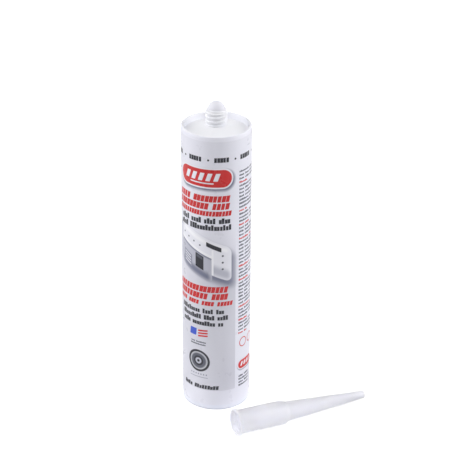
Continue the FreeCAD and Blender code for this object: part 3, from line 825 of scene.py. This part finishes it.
class CAULK_OT_barrel(bpy.types.Operator):
    """Adds the barrel: wall, rim, coned head, threaded neck and closed tip, as one moulding"""

    bl_idname = "caulk.barrel"
    bl_label = "Barrel"

    def execute(self, context):
        s = context.scene.caulk_barrel
        at = levels(s)
        shoulder = math.acos((at["neck"] - at["tip"]) / s.tip_radius)
        outside = dome(s.tip_radius, at["tip"], shoulder, 14)
        inside = dome(at["neck_bore"], at["tip"], math.pi / 2, 10)
        rear = at["bore"] + s.rear_step
        outline = outside + [
            (s.neck_radius, at["neck"]),
            (s.neck_radius, at["head"]),
            (at["rim"], at["edge"]),
            (at["rim"], s.height),
            (s.radius, s.height),
            (s.radius, 0.0),
            (rear, 0.0),
            (rear, s.rear_length),
            (at["bore"], s.rear_length + s.rear_step),
            (at["bore"], at["bore_end"]),
            (at["neck_bore"], at["throat"]),
        ] + inside[::-1]
        first = len(outside)
        rounded = [(first - 1, 0.6), (first, 0.7), (first + 1, 1.6), (first + 2, 1.6), (first + 3, 1.0),
                   (first + 4, 1.2), (first + 5, 1.0), (first + 6, 0.8)]
        piece = drawn("barrel_shell", outline,
                      rounded=[(number, s.rounding * share) for number, share in rounded])
        spun(piece, 160)

        crest = s.neck_radius + s.thread_depth
        low, high = at["head"] - s.head_thickness / 2, at["head"] + s.thread_length
        ridge = helical_ridge(s.neck_radius - OVERLAP, crest + OVERLAP, s.thread_crest, s.thread_pitch,
                              at["head"] + s.thread_rise - 3 * s.thread_pitch, turns=7)
        envelope = spun(drawn("envelope", [
            (at["neck_bore"] + OVERLAP, low), (crest, low), (crest, high - s.thread_depth),
            (s.neck_radius, high), (at["neck_bore"] + OVERLAP, high)], closed=True), 96)
        combined(ridge, envelope, "INTERSECT")
        combined(piece, ridge, "UNION")
        done(piece, "cartridge", barrel_material(s), "barrel", "barrel")
        return {"FINISHED"}


class CAULK_OT_label(bpy.types.Operator):
    """Wraps the printed film round the barrel, with its two ends nearly meeting at the back"""

    bl_idname = "caulk.label"
    bl_label = "Label"

    def execute(self, context):
        s, barrel = context.scene.caulk_label, context.scene.caulk_barrel
        inner = barrel.radius + s.glue
        outer = inner + s.thickness
        low, high = s.rear_margin, barrel.height - s.rim_margin
        gap = s.seam / outer
        piece = drawn("label_film", [(inner, low), (outer, low), (outer, high), (inner, high)],
                      closed=True, azimuth=math.pi / 2 + gap / 2)
        spun(piece, 180, TURN - gap)
        done(piece, "cartridge", label_material(s, barrel), "label", "label")
        return {"FINISHED"}


class CAULK_OT_nozzle(bpy.types.Operator):
    """Adds the loose nozzle: flange, threaded collar, shoulder and long cone, lying on the ground"""

    bl_idname = "caulk.nozzle"
    bl_label = "Nozzle"

    def execute(self, context):
        s, barrel = context.scene.caulk_nozzle, context.scene.caulk_barrel
        crest = barrel.neck_radius + s.thread_gap
        groove = crest + barrel.thread_depth
        lead = groove + s.lead_in
        cone = s.collar_end + s.shoulder
        bore = s.collar_radius - s.wall
        outline = [
            (lead, 0.0),
            (s.flange_radius, 0.0),
            (s.flange_radius, s.flange_thickness),
            (s.collar_radius, s.flange_thickness),
            (s.collar_radius, s.collar_end),
            (s.cone_radius, cone),
            (s.tip_radius, s.length),
            (s.tip_radius - s.wall, s.length),
            (s.cone_radius - s.wall, cone),
            (bore, s.collar_end),
            (bore, s.socket_depth),
            (groove, s.socket_depth),
            (groove, s.mouth + s.lead_in),
            (lead, s.mouth),
        ]
        rounded = [(0, 0.2), (1, 0.5), (2, 0.5), (3, 0.6), (4, 0.8), (5, 0.8), (6, 0.3), (7, 0.2)]
        piece = drawn("nozzle_shell", outline, closed=True,
                      rounded=[(number, radius * MM) for number, radius in rounded])
        spun(piece, 112)
        start, end, depth = s.thread_start, s.thread_end, barrel.thread_depth
        ridge = helical_ridge(groove + OVERLAP, crest - OVERLAP, barrel.thread_crest, barrel.thread_pitch,
                              start - barrel.thread_pitch, turns=6)
        envelope = spun(drawn("envelope", [
            (crest, start + depth), (groove, start), (groove + OVERLAP, start),
            (groove + OVERLAP, end), (groove, end), (crest, end - depth)], closed=True), 96)
        combined(ridge, envelope, "INTERSECT")
        combined(piece, ridge, "UNION")

        # it lies on its flange and on the far edge of its collar
        tilt = math.atan2(s.flange_radius - s.collar_radius, s.collar_end - s.flange_thickness)
        lift = s.flange_radius * math.cos(tilt) + s.flange_thickness * math.sin(tilt)
        turn = (0.0, math.pi / 2 + tilt, s.heading)
        place = (s.place[0], s.place[1], lift)
        active(piece)
        piece.location, piece.rotation_euler = place, turn
        bpy.ops.object.transform_apply(location=True, rotation=True, scale=True)
        done(piece, "cartridge", nozzle_material(s, place, turn), "nozzle", "nozzle")
        return {"FINISHED"}


class CAULK_OT_piston(bpy.types.Operator):
    """Adds the piston: a cup with two wiping lips and a stiffening ring"""

    bl_idname = "caulk.piston"
    bl_label = "Piston"

    def execute(self, context):
        s, barrel = context.scene.caulk_piston, context.scene.caulk_barrel
        paste = context.scene.caulk_paste
        at = levels(barrel)
        outer = at["bore"] - s.fit
        waist = outer - s.waist
        inner = waist - s.wall
        top = at["bore_end"] - paste.length - s.paste_gap
        bottom, roof = top - s.height, top - s.crown
        ring_inner, ring_end = s.ring_radius - s.ring_wall, roof - s.ring_depth
        outline = [
            (0.0, top),
            (outer, top),
            (outer, top - s.lip),
            (waist, top - s.lip - s.taper),
            (waist, bottom + s.lip + s.taper),
            (outer, bottom + s.lip),
            (outer, bottom + s.taper),
            (waist, bottom),
            (inner, bottom),
            (inner, roof),
            (s.ring_radius, roof),
            (s.ring_radius, ring_end),
            (ring_inner, ring_end),
            (ring_inner, roof),
            (0.0, roof),
        ]
        rounded = [(1, 0.4), (2, 0.3), (3, 0.6), (4, 0.6), (5, 0.3), (6, 0.3), (7, 0.3), (8, 0.4),
                   (9, 1.0), (10, 0.6), (11, 0.4), (12, 0.4), (13, 0.6)]
        piece = drawn("piston_cup", outline, rounded=[(number, radius * MM) for number, radius in rounded])
        spun(piece, 128)
        done(piece, "plunger", piston_material(s), "piston", "piston")
        return {"FINISHED"}


class CAULK_OT_paste(bpy.types.Operator):
    """Fills the bore and the neck with paste"""

    bl_idname = "caulk.paste"
    bl_label = "Paste"

    def execute(self, context):
        s, barrel = context.scene.caulk_paste, context.scene.caulk_barrel
        at = levels(barrel)
        radius, rear = at["bore"] - s.clearance, at["bore_end"] - s.length
        throat = at["neck_bore"] - s.clearance
        material = paste_material(s)
        column = spun(drawn("paste_column", [
            (0.0, rear), (radius, rear), (radius, at["bore_end"] - s.clearance),
            (0.0, at["bore_end"] - s.clearance)], rounded=[(1, 0.5 * MM), (2, 0.1 * MM)]), 128)
        done(column, "cartridge", material, "sealant", "sealant")
        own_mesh(column)

        head = spun(drawn("paste_head", [(0.0, at["bore_end"] - s.clearance),
                                         (radius, at["bore_end"] - s.clearance),
                                         (throat, at["throat"] - s.clearance)]
                          + dome(throat, at["tip"], math.pi / 2, 10)[::-1],
                          rounded=[(1, 0.1 * MM), (2, 0.4 * MM)]), 96)
        done(head, "cartridge", material, "sealant", "sealant")
        return {"FINISHED"}


class VIEW3D_PT_caulk_tube(bpy.types.Panel):
    """Buttons for each piece, and the sizes and colours that it takes"""

    bl_label = "Caulk Tube"
    bl_idname = "VIEW3D_PT_caulk_tube"
    bl_space_type = "VIEW_3D"
    bl_region_type = "UI"
    bl_category = "Caulk Tube"

    def draw(self, context):
        for operator, settings in zip(OPERATORS, SETTINGS.items()):
            box = self.layout.box()
            box.operator(operator.bl_idname)
            group = getattr(context.scene, settings[0])
            for name in settings[1].__annotations__:
                box.prop(group, name)


SETTINGS = {
    "caulk_stage": StageSettings,
    "caulk_barrel": BarrelSettings,
    "caulk_label": LabelSettings,
    "caulk_nozzle": NozzleSettings,
    "caulk_piston": PistonSettings,
    "caulk_paste": PasteSettings,
}
OPERATORS = [CAULK_OT_stage, CAULK_OT_barrel, CAULK_OT_label, CAULK_OT_nozzle, CAULK_OT_piston,
             CAULK_OT_paste]


def register():
    for name, group in SETTINGS.items():
        bpy.utils.register_class(group)
        setattr(bpy.types.Scene, name, PointerProperty(type=group))
    for operator in OPERATORS + [VIEW3D_PT_caulk_tube]:
        bpy.utils.register_class(operator)


def unregister():
    for operator in [VIEW3D_PT_caulk_tube] + OPERATORS[::-1]:
        bpy.utils.unregister_class(operator)
    for name, group in SETTINGS.items():
        delattr(bpy.types.Scene, name)
        bpy.utils.unregister_class(group)


def main():
    register()
    for build in (bpy.ops.caulk.stage, bpy.ops.caulk.barrel, bpy.ops.caulk.label, bpy.ops.caulk.nozzle,
                  bpy.ops.caulk.piston, bpy.ops.caulk.paste):
        build()


if __name__ == "__main__":
    main()
